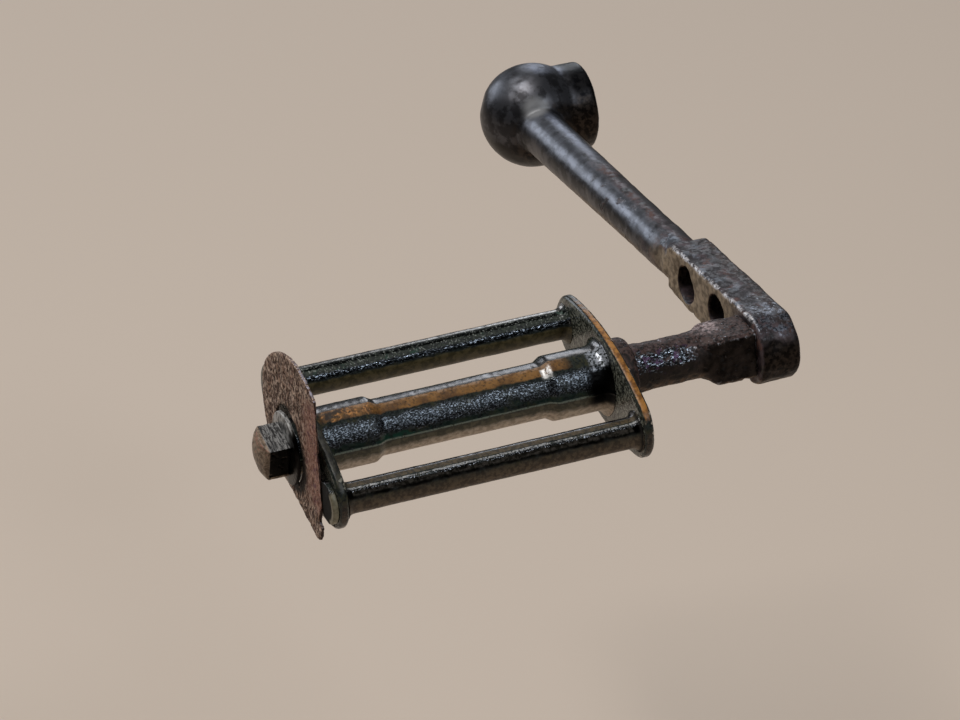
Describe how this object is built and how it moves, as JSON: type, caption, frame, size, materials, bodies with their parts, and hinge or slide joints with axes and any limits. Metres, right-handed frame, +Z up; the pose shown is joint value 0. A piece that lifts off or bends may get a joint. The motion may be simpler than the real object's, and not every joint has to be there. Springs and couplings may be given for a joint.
{
  "type": "velocipede crank with pedal",
  "caption": "Front-wheel crank of an early velocipede: round arm with adjusting holes, square-shouldered spindle, and a free-turning gunmetal pedal with tread rods and an iron end plate.",
  "frame": {"origin": "centre of the axle bore at its mouth, on the inner face of the crank's boss", "axes": "+X from the axle to the pedal along the crank, +Y inboard along the axle towards the wheel, +Z up with the crank level"},
  "size_m": [0.2333, 0.1729, 0.0494],
  "materials": {
    "forged_iron": "rusted, with remains of black paint",
    "spindle_iron": "rusted and pitted",
    "gunmetal": "dark brown patina with green verdigris",
    "rusty_sheet": "red-brown rust, deeply pitted",
    "nut_steel": "worn dark steel with a rusty end"
  },
  "bodies": {
    "crank": {"crank_arm": "forged_iron", "pedal_spindle": "spindle_iron", "inner_collar": "spindle_iron", "end_washer": "nut_steel", "end_nut": "nut_steel"},
    "pedal": {"inner_plate": "gunmetal", "outer_plate": "gunmetal", "barrel": "gunmetal", "front_rod": "gunmetal", "rear_rod": "gunmetal", "guard_plate": "rusty_sheet"}
  },
  "joints": [
    {"name": "pedal_spin", "type": "hinge", "parent": "crank", "child": "pedal", "pos_m": [0.185, -0.114, 0], "axis": [0, -1, 0], "continuous": true}
  ]
}
